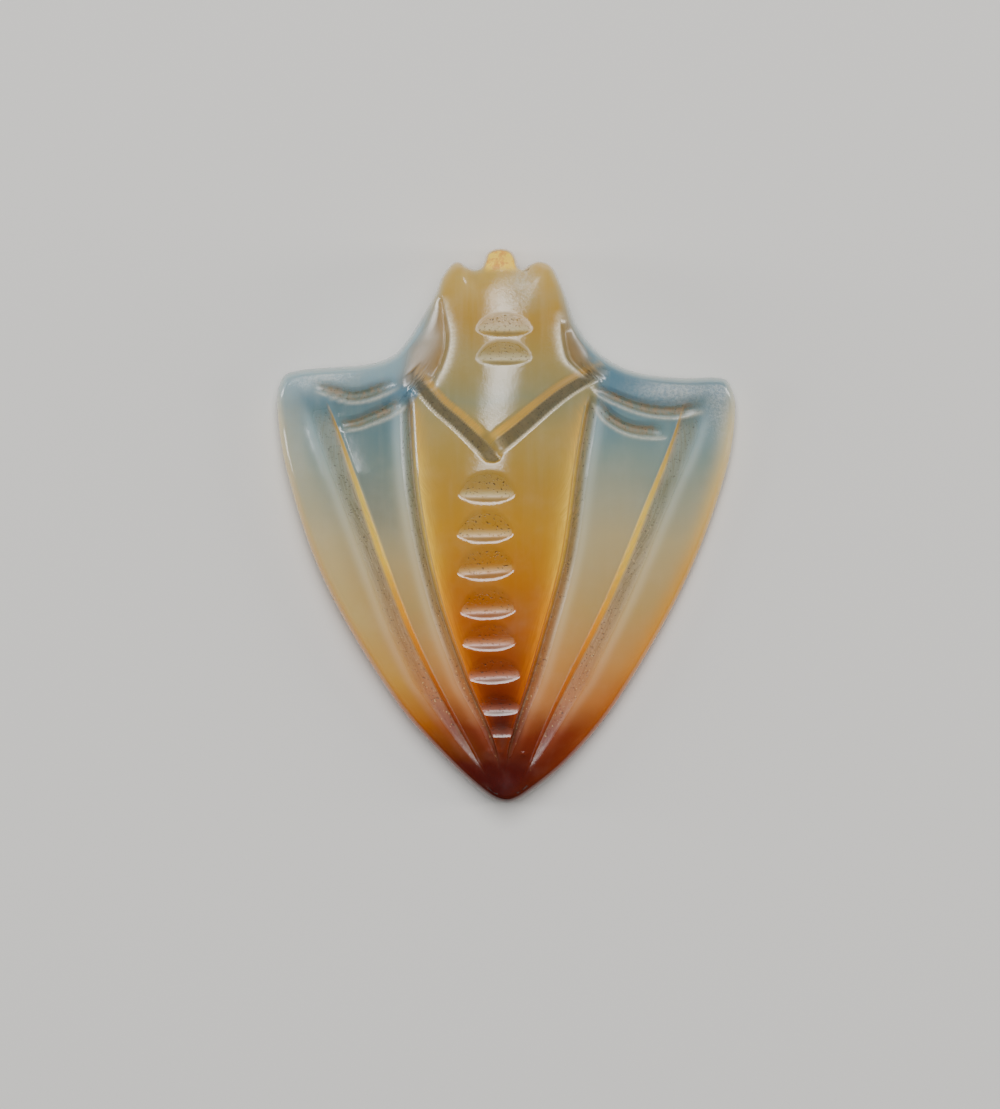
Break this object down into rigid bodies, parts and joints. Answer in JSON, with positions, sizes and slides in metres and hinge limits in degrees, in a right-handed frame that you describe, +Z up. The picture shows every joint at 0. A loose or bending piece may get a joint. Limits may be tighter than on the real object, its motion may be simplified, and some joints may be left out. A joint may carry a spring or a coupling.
{
  "type": "fly amulet",
  "caption": "Carved banded stone amulet in the shape of a fly with folded wings, with a domed grooved face and a flat back, lying on its back.",
  "frame": {"origin": "middle of the stone's outline, on the surface that its flat back lies on", "axes": "+Z up, out of the carved face; +Y towards the head; +X towards the wing on the right as the face is looked at with its head up"},
  "size_m": [0.0348, 0.042, 0.0088],
  "materials": {
    "chalcedony": "polished translucent banded chalcedony, blue-grey at the shoulders, honey on the body and dark red at the tail"
  },
  "bodies": {
    "root": {"fly_amulet": "chalcedony"}
  },
  "joints": []
}
